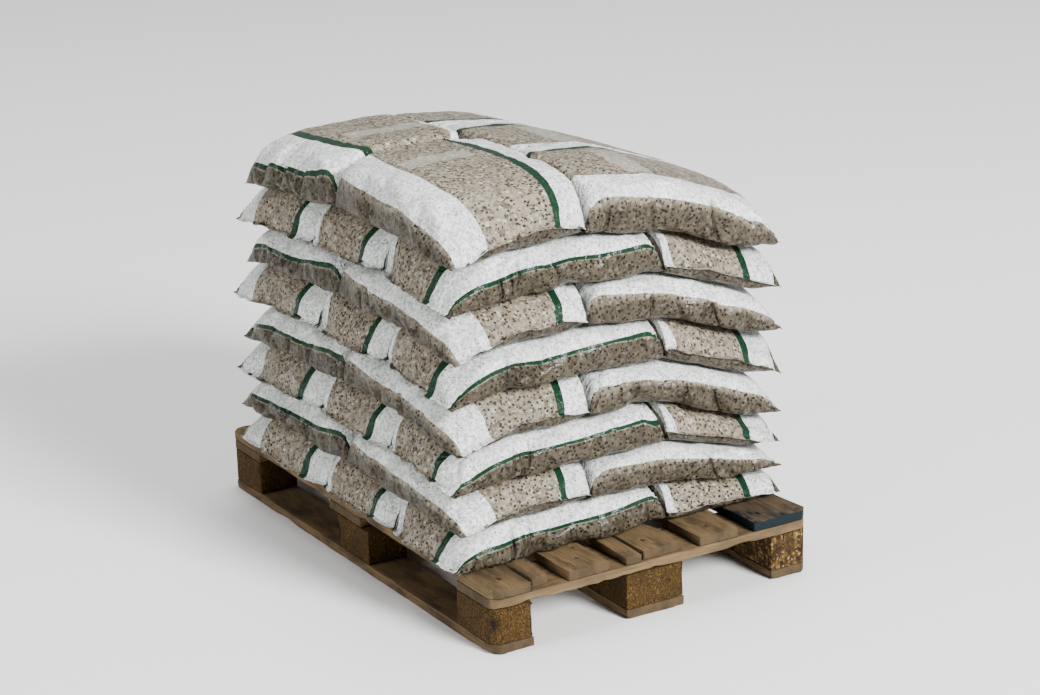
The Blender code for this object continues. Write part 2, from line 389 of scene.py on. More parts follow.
def film_material():
    s = Shader("gravel_film")
    flat = s.node("UVMap", {"uv_map": "film"}).outputs[0]
    own = s.node("UVMap", {"uv_map": "grit"}).outputs[0]
    solid = s.attribute("solid")
    u, v, _ = s.split(flat)
    stones = s.cells(solid, 1 / STONE)
    wobble = s.math("MULTIPLY_ADD", s.noise(solid, 330.0, 2.0), 0.50, -0.25)

    printed = s.math("MAXIMUM", within(s, v, LINE_END, STRIPE_START), within(s, v, WINDOW_END, BAND_END, 0.0006))
    green = s.math("MAXIMUM", within(s, v, LINE_START, LINE_END), within(s, v, STRIPE_START, STRIPE_END))
    milky = s.math("MULTIPLY", within(s, u, *MILKY_U, 0.0012), within(s, v, *MILKY_V, 0.0012))
    crease_shade, furrow = crease_shade_and_furrows(s)
    colour = s.mix(printed, gravel_colour(s, v, own, solid, stones, wobble), white_print(s, solid, wobble))
    colour = s.mix(s.math("MULTIPLY", milky, 0.30), colour, (0.50, 0.50, 0.455))
    colour = s.mix(green, colour, (0.005, 0.026, 0.012))
    # Painted shade along the creases.
    colour = s.mix(crease_shade, colour, (0.022, 0.020, 0.016))
    normal = film_relief(s, u, v, own, stones, printed, furrow)
    rough = s.step(printed, 0.0, 1.0, 0.30, 0.44)
    return s.finish(Base_Color=colour, Roughness=rough, Normal=normal, Specular_IOR_Level=0.08, Coat_Weight=0.11,
                    Coat_Roughness=0.09, Coat_Normal=normal)


gravel_film = film_material()
print("film material has", len(gravel_film.node_tree.nodes), "nodes")

# %% [markdown]
# ## One flat bag
#
# A real sack starts as a flat tube, welded across both ends. Building it the same way gives the
# right creases for nothing: two flat sheets that share their folds, blown up by cloth simulation. The grid
# below numbers both sheets. The same grid, with a few more columns for the welded fins, becomes the
# final mesh of every sack, so the film coordinates are worked out once.

# %% Bag grid
GRID = 0.0080
FIN = 0.008
FIN_COLUMNS = 2
FIN_THICKNESS = 0.0008
COLUMNS = round(FILM_LENGTH / GRID)
ROWS = round(FILM_WIDTH / GRID)


def number_sheets(columns, rows, fins):
    """Vertex numbers of the top sheet and the under sheet; they share a number where the film folds."""
    top = np.arange((columns + 1) * (rows + 1)).reshape(columns + 1, rows + 1)
    under = top.copy()
    count = top.size
    for i in range(columns + 1):
        for j in range(rows + 1):
            at_end = i <= fins or i >= columns - fins
            if fins:
                shared = j in (0, rows) and not at_end
            else:
                shared = j in (0, rows) or i in (0, columns)
            if not shared:
                under[i, j] = count
                count += 1
    return top, under, count


def sheet_faces(top, under, fins):
    """Faces of the closed bag, each with the sheet (0 top, 1 under) and grid places of its corners."""
    columns, rows = top.shape[0] - 1, top.shape[1] - 1
    faces = []
    for i in range(columns):
        for j in range(rows):
            ring = ((i, j), (i + 1, j), (i + 1, j + 1), (i, j + 1))
            faces.append([(0, p) for p in ring])
            faces.append([(1, p) for p in ring[::-1]])
    if fins:
        for j in range(rows):
            faces.append([(0, (0, j)), (0, (0, j + 1)), (1, (0, j + 1)), (1, (0, j))])
            faces.append([(0, (columns, j)), (1, (columns, j)), (1, (columns, j + 1)), (0, (columns, j + 1))])
        for i in [*range(fins + 1), *range(columns - fins - 1, columns)]:
            faces.append([(0, (i, 0)), (1, (i, 0)), (1, (i + 1, 0)), (0, (i + 1, 0))])
            faces.append([(0, (i, rows)), (0, (i + 1, rows)), (1, (i + 1, rows)), (1, (i, rows))])
    numbered = []
    for face in faces:
        corners, kept = [], []
        for sheet, place in face:
            number = (under if sheet else top)[place]
            if number not in kept:
                kept.append(number)
                corners.append((sheet, place))
        numbered.append((kept, corners))
    return numbered


bag_top, bag_under, bag_count = number_sheets(COLUMNS, ROWS, 0)
fin_top, fin_under, fin_count = number_sheets(COLUMNS + 2 * FIN_COLUMNS, ROWS, FIN_COLUMNS)
print("bag grid:", COLUMNS, "by", ROWS, "cells;", fin_count, "vertices a sack")

# %% [markdown]
# ## Blow the bag up
#
# Blender's Cloth with pressure and no gravity turns the flat tube into a pillow with pulled-in edges,
# pointed corners and creases that run in from the welds. Three bags with slightly different film are
# enough: turned, flipped and pressed into forty different places, no two look alike.

# %% Cloth simulation
BAG_SEEDS = (1, 2, 3)
CLOTH_FRAMES = 20
CLOTH_PRESSURE = 4.0
WAVES, WAVE_HEIGHT = 14, 0.0004
HALF_GAP = 0.004


def flat_positions(seed):
    """The empty bag, slightly wavy, its two sheets a little apart and joined at the rim."""
    draw = np.random.default_rng(seed)
    points = np.zeros((bag_count, 3))
    x = np.linspace(-FILM_LENGTH / 2, FILM_LENGTH / 2, COLUMNS + 1)[:, None]
    y = np.linspace(-FILM_WIDTH / 2, FILM_WIDTH / 2, ROWS + 1)[None, :]
    waves = np.zeros((COLUMNS + 1, ROWS + 1))
    for _ in range(WAVES):
        kx, ky, phase = draw.uniform(-60, 60), draw.uniform(-60, 60), draw.uniform(0, 6.3)
        waves += WAVE_HEIGHT * np.sin(kx * x + ky * y + phase)
    for numbers, gap in ((bag_under, -HALF_GAP), (bag_top, HALF_GAP)):
        points[numbers, 0] = x + 0 * y
        points[numbers, 1] = y + 0 * x
        points[numbers, 2] = waves + gap
    rim = [bag_top[0], bag_top[-1], bag_top[:, 0], bag_top[:, -1]]
    points[np.concatenate(rim), 2] -= HALF_GAP
    return points


def inflate(seed):
    """The bag's points after cloth simulation, on the bag grid."""
    mesh = bpy.data.meshes.new("cloth")
    faces = [numbers for numbers, _ in sheet_faces(bag_top, bag_under, 0)]
    mesh.from_pydata(flat_positions(seed).tolist(), [], faces)
    obj = add_object("cloth", mesh)
    cloth = obj.modifiers.new("cloth", "CLOTH")
    film = cloth.settings
    film.quality = 6
    film.mass = 0.3
    film.tension_stiffness = film.compression_stiffness = 40
    film.shear_stiffness = 20
    film.bending_stiffness = 0.02
    film.tension_damping = film.compression_damping = film.shear_damping = 5
    film.bending_damping = 0.5
    film.air_damping = 2
    film.use_pressure = True
    film.uniform_pressure_force = CLOTH_PRESSURE
    film.effector_weights.gravity = 0
    cloth.collision_settings.use_collision = False
    cloth.point_cache.frame_start = 1
    cloth.point_cache.frame_end = CLOTH_FRAMES
    for number in range(1, CLOTH_FRAMES + 1):
        bpy.context.scene.frame_set(number)
    blown = obj.evaluated_get(bpy.context.evaluated_depsgraph_get()).to_mesh()
    points = np.empty(bag_count * 3)
    blown.vertices.foreach_get("co", points)
    bpy.data.objects.remove(obj)
    return points.reshape(-1, 3)


pillows = [inflate(seed) for seed in BAG_SEEDS]
bpy.context.scene.frame_set(1)
for pillow in pillows:
    print("pillow", [round(float(v), 3) for v in np.ptp(pillow, axis=0)], "metres")

# %% [markdown]
# ## From pillow to sack
#
# Forty simulated sacks pressing on each other would take an hour. The stack's joints are known, though:
# CAD says how high each layer's top is at every point. So each pillow is measured in shares of its own
# size: a along it, b across it and c up it. Then it is poured into its place in the stack, c running from the
# joint below to the joint above. Squeezing c with a tanh curve makes the sides full and the top flat,
# as a pressed sack is.

# %% Shares of a pillow
RIM_WEIGHTS = np.ones(11)


def smoothed(values, weights):
    """A weighted running mean, the ends held."""
    padded = np.pad(values, len(weights) // 2, mode="edge")
    return np.convolve(padded, weights / weights.sum(), "valid")


def shares_of(pillow):
    """Arrays (sheet, column, row) of a along, b across and c up, each about -1 to 1."""
    sheets = np.stack([pillow[bag_top], pillow[bag_under]])
    x, y, z = sheets[..., 0], sheets[..., 1], sheets[..., 2]
    top = sheets[0]
    ends = [smoothed(top[i, :, 0], RIM_WEIGHTS) for i in (0, -1)]
    folds = [smoothed(top[:, j, 1], RIM_WEIGHTS) for j in (0, -1)]
    a = (2 * x - (ends[0] + ends[1])) / (ends[1] - ends[0])
    b = (2 * y - (folds[0] + folds[1])[:, None]) / (folds[1] - folds[0])[:, None]
    return a, b, z / np.abs(z).max()


pillow_shares = [shares_of(pillow) for pillow in pillows]
print("shares ready for", len(pillow_shares), "pillows")

# %% [markdown]
# ## The joints between the layers
#
# A stack of soft sacks is never level. Its layers sink towards the far side, where the sacks settled,
# hang over at both ends, and fall away at the far end more with every layer. The joints could be read off
# the CAD solids, but short tables of falls are easier to follow and to correct, so the part's own tables
# are used, with rounded corners. The far end hangs a little less here than in the CAD solids, as the
# photograph shows, and the top layer is crowned.

# %% Joints between the layers
DECK = 0.144
LAYERS = 8
RISE = 0.098
SETTLE = 0.35
SINK_X = ((-0.530, 0.022), (-0.330, 0.0), (0.300, 0.0), (0.510, 0.024))
SINK_Y = ((-0.435, 0.018), (-0.300, 0.0), (0.100, 0.0), (0.200, 0.034), (0.320, 0.078), (0.435, 0.098))
LEAN_X = ((-0.530, 0.046), (-0.330, 0.030), (0.000, 0.006), (0.300, 0.0))
LEAN_Y = ((-0.435, 0.0), (-0.100, 0.0), (0.100, 0.022), (0.435, 0.022))
CROWN = 0.018
JOINT_WAVE = 0.0022
TABLE_WEIGHTS = np.hanning(21)


def rounded_table(points):
    """A sinking curve with its corners rounded off."""
    places = np.linspace(-0.66, 0.66, 265)
    return places, smoothed(np.interp(places, *zip(*points)), TABLE_WEIGHTS)


SINKING = rounded_table(SINK_X), rounded_table(SINK_Y)
LEANING = rounded_table(LEAN_X), rounded_table(LEAN_Y)


def fall(tables, x, y):
    """How far a joint has sunk, from a table along each side of the pallet."""
    return np.interp(x, *tables[0]) + np.interp(y, *tables[1])


def joint_height(level, x, y):
    """Height of the top of a layer at (x, y); level 0 is the deck."""
    height = DECK + level * RISE - min(1.0, level * SETTLE) * fall(SINKING, x, y)
    height = height - (level / LAYERS) ** 2 * fall(LEANING, x, y)
    if level == LAYERS:
        height = height + CROWN
    elif level > 0:
        height = height + JOINT_WAVE * np.sin(23 * x + 2.1 * level) * np.cos(19 * y - 1.3 * level)
    return height


print("top of the stack", round(float(joint_height(LAYERS, 0.1, -0.1)), 3), "m")

# %% [markdown]
# ## Folds and pressed sides
#
# A sack that is pressed against its neighbour stands steep there, and its film rolls down between
# them, so less of its print shows. A free side stays round. The height of the fold decides how much gravel is
# seen under the print, and a simulation would not put it where the photograph has it. So it is set for
# each kind of side, and it drops at the near corner and at the far end of the long side, where the
# sacks droop.

# %% Folds and sides
STACK_X1, STACK_Y0, STACK_Y1 = 0.505, -0.420, 0.405
SIDE_SHARE, END_SHARE, HANGING_SHARE, CORNER_SHARE = 0.43, 0.38, 0.14, 0.18
LONG_SIDE_SHARES = 0.36, 0.22
LOW_CORNER, LOW_SHARE = 0.16, 0.06
WRAP_FIRST, WRAP_LAST = 0.88, 0.62


def turned(a, b, quarter):
    """Plan shares after quarter turns to the left."""
    return ((a, b), (-b, a), (-a, -b), (b, -a))[quarter]


def quarter_round(distance, radius):
    """0 at an edge, 1 from radius inwards, and a quarter circle between."""
    return np.sqrt(np.clip(1 - (1 - np.clip(distance / radius, 0, 1)) ** 2, 0, 1))


def spread(b, quarter, free):
    """Shares across the sack after its pressed sides have rolled down between it and its neighbour."""
    first, last = ((2, 3), (1, 0), (3, 2), (0, 1))[quarter]
    wrap_first = 1.0 if free[first] else WRAP_FIRST
    wrap_last = 1.0 if free[last] else WRAP_LAST
    return np.clip(2 * (b + wrap_first) / (wrap_first + wrap_last) - 1, -1, 1)


def fold_shares(a, b, p, q, x, y, lengthways, free, far_end):
    """How high between its two joints the sack's folds and welds run."""
    towards_view = (p > 0) if lengthways else np.zeros_like(p, bool)
    end_share = np.where(towards_view, END_SHARE, HANGING_SHARE)
    side_share = np.full_like(p, SIDE_SHARE)
    if lengthways and free[2]:
        far, near = LONG_SIDE_SHARES
        side_share = np.where(q < 0, far + (near - far) * (p + 1) / 2, side_share)
    weld = np.clip((np.abs(a) - 0.80) / 0.20, 0, 1)
    fold_share = side_share - (side_share - CORNER_SHARE) * np.abs(a) ** 4
    weld_share = end_share - (end_share - CORNER_SHARE) * np.abs(b) ** 3
    from_corner = np.hypot(x - STACK_X1, y - STACK_Y0)
    if lengthways and free[0] and free[2]:
        from_corner = np.minimum(from_corner, np.hypot(x - far_end, y - STACK_Y0))
    share = fold_share + (weld_share - fold_share) * weld
    return LOW_SHARE + (share - LOW_SHARE) * np.clip(from_corner / LOW_CORNER, 0, 1)


print("folds run between", LOW_SHARE, "and", SIDE_SHARE, "of the way up a sack")

# %% [markdown]
# ## Press a sack into its place
#
# Now the shares become places. Along and across, the sack fills its box in the layer's plan, and its
# corners are tucked in where they meet others. Upwards it fills the gap between its two joints: steeply where
# a neighbour holds it, in a quarter circle where an end is free.

# %% Sack points
FULL_FREE, FULL_TOUCHING, FULL_UNDER = 1.9, 4.5, 2.7
FULL_CROWN = 2.1
TUCK_FREE, TUCK_TOUCHING = 0.010, 0.003
BULGE = 0.003
END_ROUND, END_ROUND_CROWN, END_ROUND_INNER = 0.085, 0.095, 0.030


def sack_points(shares, low, high, quarter, free, layer):
    """Points (sheet, column, row, xyz) of a sack pressed into its place, without fins.

    free says whether each of the -X, +X, -Y, +Y sides is on the outside of the stack.
    """
    a, b, c = shares
    p, q = turned(a, spread(b, quarter, free), quarter)
    lengthways = quarter % 2 == 0
    low, high = np.array(low), np.array(high)
    ends = 0 if lengthways else 1
    low[ends] += FIN * 0.6 * free[2 * ends]
    high[ends] -= FIN * 0.6 * free[2 * ends + 1]
    middle, half = (low + high) / 2, (high - low) / 2
    free_x = np.where(p < 0, free[0], free[1])
    free_y = np.where(q < 0, free[2], free[3])
    reach_x = np.where(free_x, BULGE - TUCK_FREE * np.abs(q) ** 4, -TUCK_TOUCHING * np.abs(q) ** 4)
    reach_y = np.where(free_y, BULGE - TUCK_FREE * np.abs(p) ** 4, -TUCK_TOUCHING * np.abs(p) ** 4)
    x = middle[0] + p * (half[0] + reach_x * np.abs(p))
    y = middle[1] + q * (half[1] + reach_y * np.abs(q))
    fold = fold_shares(a, b, p, q, x, y, lengthways, free, low[0])
    free_end = free_x if lengthways else free_y
    top = layer == LAYERS
    from_end = (1 - np.abs(a)) * half[ends]
    free_round = END_ROUND_CROWN if top else END_ROUND
    rounding = quarter_round(from_end, np.where(free_end, free_round, END_ROUND_INNER))
    touching = np.maximum(np.where(free_x, 0, p ** 2), np.where(free_y, 0, q ** 2))
    loose = FULL_CROWN if top else FULL_FREE
    full = loose + (FULL_TOUCHING - loose) * np.clip(touching, 0, 1)
    rise = np.tanh(full * np.clip(c, 0, None)) / np.tanh(full) * (0.35 + 0.65 * rounding)
    sag = np.tanh(FULL_UNDER * np.clip(-c, 0, None)) / math.tanh(FULL_UNDER)
    share = fold + (1 - fold) * rise - fold * sag
    base = joint_height(layer - 1, x, y)
    z = base + share * (joint_height(layer, x, y) - base)
    return np.stack([x, y, z], axis=-1)


print("sack shape ready")

# %% [markdown]
# ## The welded ends
#
# Past each weld the film ends in a thin fin, which droops and ripples. Left out, the sacks would look
# like cushions. Simulated, it would flutter. It follows on from the slope of the sack, so it is added last,
# as two more columns of points at each end with a ripple of smooth noise.

# %% Welded fins
FIN_DROOP, FIN_RIPPLE = 0.25, 0.004


def value_noise(u, v, cell, seed):
    """Smooth random heights between -1 and 1 on a grid of that cell size."""
    table = np.random.default_rng(seed).uniform(-1, 1, (97, 97))
    p, q = u / cell, v / cell
    i, j = np.floor(p).astype(int), np.floor(q).astype(int)
    s, t = p - i, q - j
    s, t = s * s * (3 - 2 * s), t * t * (3 - 2 * t)

    def corner(di, dj):
        return table[(i + di) % 97, (j + dj) % 97]

    low = corner(0, 0) * (1 - s) + corner(1, 0) * s
    high = corner(0, 1) * (1 - s) + corner(1, 1) * s
    return low * (1 - t) + high * t


def add_fins(points, quarter, seed):
    """The sack's points with two more columns at each welded end."""
    out = Vector(((1, 0), (0, 1), (-1, 0), (0, -1))[quarter])
    rows = np.arange(ROWS + 1) * GRID
    made = []
    for end, edge, inner in ((-1, points[:, 0], points[:, 3]), (1, points[:, -1], points[:, -4])):
        way = edge - inner
        way /= np.linalg.norm(way, axis=-1, keepdims=True) + 1e-9
        way = way.mean(axis=0) * 0.5
        way[:, 0] += end * out.x
        way[:, 1] += end * out.y
        way[:, 2] -= FIN_DROOP
        way /= np.linalg.norm(way, axis=-1, keepdims=True)
        seam = edge.mean(axis=0)
        columns = []
        for number in range(1, FIN_COLUMNS + 1):
            reach = FIN * number / FIN_COLUMNS
            ripple = value_noise(rows, rows * 0 + end, 0.035, seed) * FIN_RIPPLE * number / FIN_COLUMNS
            column = seam + way * reach
            column[:, 2] += ripple
            columns.append(column)
        made.append((seam, columns))
    thick = np.array([0, 0, FIN_THICKNESS / 2])
    sheets = []
    for sheet, side in ((0, 1), (1, -1)):
        start = [column + side * thick for column in made[0][1][::-1]] + [made[0][0] + side * thick]
        end = [made[1][0] + side * thick] + [column + side * thick for column in made[1][1]]
        sheets.append(np.concatenate([np.stack(start), points[sheet, 1:-1], np.stack(end)]))
    return np.stack(sheets)


print("fins of", FIN * 1000, "mm ready")

# %% [markdown]
# ## One mesh for forty sacks
#
# The real sacks come off one roll of film. Here too, all share one grid: two sheets that meet at the folds,
# and thin flat fins where the ends are welded. Only the points differ, so faces and film coordinates
# are listed once. Each sack then gets its own creases, which dent the mesh as well as darkening it, and
# a slow swell from the stones inside. Creases in the shading alone would leave the outline too smooth.

# %% Shared sack mesh
CREASE_DEPTH, CREASE_WIDTH = 0.005, 0.009
LUMP = 0.0010
fin_faces = sheet_faces(fin_top, fin_under, FIN_COLUMNS)


def film_place(sheet, place):
    """Film coordinates of a grid corner: metres along the sack and round the tube."""
    u = (place[0] - FIN_COLUMNS) * FILM_LENGTH / COLUMNS
    v = place[1] * FILM_WIDTH / ROWS
    return u, (2 * FILM_WIDTH - v if sheet else v)


loop_film = np.array([film_place(*corner) for _, corners in fin_faces for corner in corners])
face_numbers = [numbers for numbers, _ in fin_faces]
vertex_film = np.zeros((fin_count, 2))
for numbers, corners in fin_faces:
    vertex_film[numbers] = [film_place(*corner) for corner in corners]


def crease_field(creases):
    """How far each vertex is from each crease, and how deep the crease is there.

    A crease is (u, which fold it crosses, slant, depth, reach above the fold, reach below it).
    """
    u, v = vertex_film.T
    offs, depths = np.full((fin_count, 3 * CREASE_GROUPS), 0.05), np.zeros((fin_count, 3 * CREASE_GROUPS))
    for number, (place, fold, slant, strength, above, below) in enumerate(creases):
        up = FILM_WIDTH - v if fold else np.where(v > FILM_WIDTH, v - 2 * FILM_WIDTH, v)
        offs[:, number] = u - place - slant * up
        depths[:, number] = strength * np.clip(1.3 - np.where(up > 0, up / above, -up / below), 0, 1)
    return offs, depths


def sack_mesh(name, sheets, seed, creases):
    """One sack from its points, with its film coordinates, stones' swell and creases."""
    points = np.empty((fin_count, 3))
    points[fin_under] = sheets[1]
    points[fin_top] = sheets[0]
    folds = slice(FIN_COLUMNS + 1, -FIN_COLUMNS - 1)
    for row in (0, -1):
        points[fin_top[folds, row]] = (sheets[0][folds, row] + sheets[1][folds, row]) / 2
    mesh = bpy.data.meshes.new(name)
    mesh.from_pydata(points.tolist(), [], face_numbers)
    shift = np.random.default_rng(seed).uniform(0, 30, 3)
    mesh.uv_layers.new(name="film").uv.foreach_set("vector", loop_film.ravel())
    mesh.uv_layers.new(name="grit").uv.foreach_set("vector", (loop_film + shift[:2]).ravel())
    normals = np.empty(fin_count * 3)
    mesh.vertex_normals.foreach_get("vector", normals)
    u, v = vertex_film.T
    swell = value_noise(u, v, 0.024, seed) + 0.5 * value_noise(u, v, 0.013, seed + 1)
    offs, depths = crease_field(creases)
    push = swell * LUMP - CREASE_DEPTH * np.max(depths * np.exp(-(offs / CREASE_WIDTH) ** 2), axis=1)
    points = points + normals.reshape(-1, 3) * push[:, None]
    mesh.vertices.foreach_set("co", points.ravel())
    mesh.attributes.new("solid", "FLOAT_VECTOR", "POINT").data.foreach_set("vector", (points + shift * 0.1).ravel())
    for group in range(CREASE_GROUPS):
        part = slice(3 * group, 3 * group + 3)
        for label, values in (("crease", offs), ("depth", depths)):
            layer = mesh.attributes.new(f"{label}_{group}", "FLOAT_VECTOR", "POINT")
            layer.data.foreach_set("vector", values[:, part].ravel())
    mesh.materials.append(gravel_film)
    mesh.shade_smooth()
    return mesh


print("sack mesh:", len(fin_faces), "faces")

# %% [markdown]
# ## Lay the forty sacks
#
# Every layer has two sacks lengthways and three crossways, and the next layer is the other way round, so
# the stack locks together. Even layers have their pair along the near long side, odd layers their three.
# Each sack is turned so that its print faces the way the photograph shows, and the splits between them were
# read there too. The far ends differ from layer to layer, which gives the stack its ragged back. Creases
# are placed where the photograph has them and drawn at random, with a fixed seed, elsewhere.

# %% Lay every layer
CROSS_LENGTH, PAIR_WIDTH = 0.520, 0.330
FAR_ENDS = (-0.525, -0.510, -0.515, -0.477, -0.518, -0.443, -0.477, -0.423)
PAIR_SPLIT = 0.010
TRIO_SPLITS = (-0.135, 0.185), (-0.095, 0.215)


def layer_plan(layer):
    """For each sack: plan box, quarter turns, and which of its -X, +X, -Y, +Y sides are free."""
    even = layer % 2 == 0
    near = STACK_Y0 + (PAIR_WIDTH if even else CROSS_LENGTH)
    pair = (STACK_Y0, near) if even else (near, STACK_Y1)
    trio = (near, STACK_Y1) if even else (STACK_Y0, near)
    far_end = FAR_ENDS[layer - 1]
    plan = []
    trio_quarters = (1, 3, 3) if even else (1, 1, 1)
    rows = ((PAIR_SPLIT,), pair, (0, 2), even), (TRIO_SPLITS[layer % 2], trio, trio_quarters, not even)
    for splits, (y0, y1), quarters, at_front in rows:
        edges = (far_end, *splits, STACK_X1)
        for x0, x1, quarter in zip(edges, edges[1:], quarters):
            free = (x0 == far_end, x1 == STACK_X1, at_front, not at_front)
            plan.append(((x0, y0), (x1, y1), quarter, free))
    return plan


def creases_of(layer, index, seed):
    """The deep creases seen in the photograph, and pleats of its own where a sack bends over its folds."""
    draw = np.random.default_rng(seed + 500)
    creases = []
    if index == 5 and layer % 2:
        start = draw.uniform(0.130, 0.150)
        creases += [(start, 0, 0.25, 1.0, 0.040, 0.060),
                    (start + 0.024, 0, 0.1, 0.9, 0.025, 0.060),
                    (start + 0.038, 0, 0.3, 0.8, 0.045, 0.055)]
    if index == 5 and layer % 2 == 0:
        creases += [(draw.uniform(0.205, 0.225), 1, 0.5, 1.0, 0.035, 0.060)]
    while len(creases) < 3 * CREASE_GROUPS:
        fold = len(creases) % 2
        place, slant = draw.uniform(0.05, FILM_LENGTH - 0.05), draw.uniform(-0.3, 0.3)
        creases.append((place, fold, slant, draw.uniform(0.5, 1.0), draw.uniform(0.008, 0.020),
                        draw.uniform(0.030, 0.060)))
    return creases


for layer in range(1, LAYERS + 1):
    for index, (low, high, quarter, free) in enumerate(layer_plan(layer), start=1):
        seed = layer * 10 + index
        shares = pillow_shares[seed % len(pillow_shares)]
        points = sack_points(shares, low, high, quarter, free, layer)
        sheets = add_fins(points, quarter, seed)
        mesh = sack_mesh("sack", sheets, seed, creases_of(layer, index, seed))
        sack = add_object(f"film_sack_{layer}_{index}", mesh)
        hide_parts(f"sack_{layer}_{index}")
        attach(sack, "root")
print("forty sacks laid")

# %% [markdown]
# ## Old wood
#
# The pallet has carried many loads. Its boards are sawn softwood gone brown, with the grain standing up,
# dirt rubbed in and pale edges where forks have scraped it. Each board carries a "grain" attribute: its
# own length, width and thickness as a place inside a log. A solid texture read at that place gives long
# lines on the faces and rings on the ends from one and the same pattern. A second attribute holds how bare
# (or, below zero, how dirty), how painted and how deep in a hole each point is; inside holes and slits the
# shade is painted in, nearly black.
#
# The blocks are pressed from chips. Two cell textures, stretched different ways, stand for chips lying
# along and across. The far corner block is made of coarser, brighter chips than the others.

# %% Wood materials
RING = 0.0052


def wood_material(name, pale, dark, dirt, painted):
    s = Shader(name)
    grain = s.attribute("grain")
    scuff, paint, hole_shade = s.split(s.attribute("wear_paint_and_hole_shade"))
    _, wide, deep = s.split(grain)
    sway = s.noise(s.scaled(grain, (2.2, 9.0, 9.0)), 1.0, 2.0)
    across = s.math("ADD", wide, s.math("MULTIPLY", sway, 0.030))
    radius = s.math("SQRT", s.math("ADD", s.math("POWER", across, 2.0), s.math("POWER", deep, 2.0)))
    wave = s.math("SINE", s.math("MULTIPLY", radius, 2 * math.pi / RING))
    rings = s.math("MULTIPLY_ADD", wave, 0.5, 0.5)
    fibre = s.noise(s.scaled(grain, (9.0, 420.0, 420.0)), 1.0, 3.0, 0.6)
    colour = s.mix(s.step(rings, 0.35, 1.0, 0.0, 0.45), pale, dark)
    colour = s.mix(s.step(fibre, 0.38, 0.66, 0.0, 0.60), colour, dark)
    grime = s.noise(s.scaled(grain, (9.0, 26.0, 26.0)), 1.0, 5.0, 0.65)
    colour = s.mix(s.step(grime, 0.40, 0.66, 0.05, 0.85), colour, dirt)
    bare = s.math("MAXIMUM", scuff, 0.0)
    dirty = s.math("MAXIMUM", s.math("MULTIPLY", scuff, -1.0), 0.0)
    colour = s.mix(s.math("MULTIPLY", bare, 0.55), colour, pale)
    colour = s.mix(s.math("MULTIPLY", dirty, 0.85), colour, dirt)
    worn = s.noise(s.scaled(grain, (14.0, 30.0, 30.0)), 1.0, 5.0, 0.65)
    cover = s.step(s.math("ADD", worn, s.math("MULTIPLY", paint, 0.5)), 0.72, 0.84)
    colour = s.mix(cover, colour, painted)
    # Painted shade: the insides of holes and slits are painted nearly black.
    colour = s.mix(hole_shade, colour, (0.006, 0.005, 0.004))
    height = s.math("ADD", s.math("MULTIPLY", rings, 0.35), fibre)
    return s.finish(Base_Color=colour, Roughness=0.80, Specular_IOR_Level=0.18, Normal=s.bump(height, 0.0012, 0.8))


deck_wood = wood_material("deck_wood", (0.160, 0.104, 0.050), (0.070, 0.044, 0.019), (0.037, 0.025, 0.013),
                          painted=(0.065, 0.024, 0.009))
painted_wood = wood_material("painted_wood", (0.090, 0.060, 0.034), (0.040, 0.028, 0.017), (0.018, 0.014, 0.010),
                             painted=(0.003, 0.008, 0.011))


def chip_material(name, size, tones):
    """Pressed chips; size scales them, since the far block is made of coarser ones."""
    s = Shader(name)
    grain = s.attribute("grain")
    hole_shade = s.split(s.attribute("wear_paint_and_hole_shade"))[2]
    one = s.cells(s.scaled(grain, (200.0 / size, 560.0 / size, 420.0 / size)), 1.0)
    two = s.cells(s.scaled(grain, (640.0 / size, 260.0 / size, 520.0 / size)), 1.0)
    pick = s.step(s.noise(grain, 150.0 / size, 2.0), 0.47, 0.53)
    tone = s.node("SeparateColor", Color=s.mix(pick, one.outputs["Color"], two.outputs["Color"])).outputs[0]
    colour = s.ramp(tone, list(zip((0.0, 0.35, 0.75, 1.0), tones)))
    grime = s.noise(s.scaled(grain, (16.0, 16.0, 10.0)), 1.0, 4.0, 0.6)
    colour = s.mix(s.step(grime, 0.45, 0.72, 0.0, 0.60), colour, (0.022, 0.013, 0.005))
    # Painted shade inside the corner hole.
    colour = s.mix(hole_shade, colour, (0.005, 0.004, 0.003))
    gap = s.math("MINIMUM", one.outputs["Distance"], two.outputs["Distance"])
    height = s.math("ADD", tone, s.math("MULTIPLY", gap, -0.8))
    return s.finish(Base_Color=colour, Roughness=0.88, Specular_IOR_Level=0.15,
                    Normal=s.bump(height, 0.0010 * size, 0.8))


fine_chips = chip_material("fine_chips", 1.0, ((0.012, 0.006, 0.002), (0.033, 0.017, 0.003),
                                               (0.054, 0.029, 0.006), (0.110, 0.064, 0.018)))
coarse_chips = chip_material("coarse_chips", 2.6, ((0.009, 0.005, 0.002), (0.034, 0.018, 0.005),
                                                   (0.095, 0.055, 0.016), (0.260, 0.165, 0.062)))
print("wood, paint and chips ready")

# %% [markdown]
# ## Boards and blocks
#
# A cube with a texture would look like a cube. Each board is built as a box of many small cells, whose
# points are then moved: edges are rounded, the grain is raised, edges are knocked in, and slits are
# opened where the photograph shows nails and splits, their shade painted dark inside. Moving points of a
# known grid keeps the mesh closed and light. The grid gets extra lines at each slit, so that a slit 4 mm
# wide needs no fine mesh all over.

# %% Grids and wear
EDGE_ROUND = 0.0022
BOARD_CELL = 0.016, 0.009, 0.0055
KNOCK_DEPTH, KNOCK_REACH = 0.0065, (0.012, 0.009)
END_DIRT = -0.75
PALLET_X, PALLET_Y, PALLET_CORNER = 0.600, 0.400, 0.018


def lines(low, high, cell, extra=()):
    """Grid lines from low to high with close ones at the rounded edges and at the extra places."""
    count = max(1, round((high - low - 2 * EDGE_ROUND) / cell))
    inner = np.linspace(low + EDGE_ROUND, high - EDGE_ROUND, count + 1)
    near = EDGE_ROUND * 0.4
    extra = [place for place in extra if low + EDGE_ROUND < place < high - EDGE_ROUND]
    inner = [place for place in inner if all(abs(place - other) > 0.0006 for other in extra)]
    return np.array(sorted([low, low + near, *inner, *extra, high - near, high]))


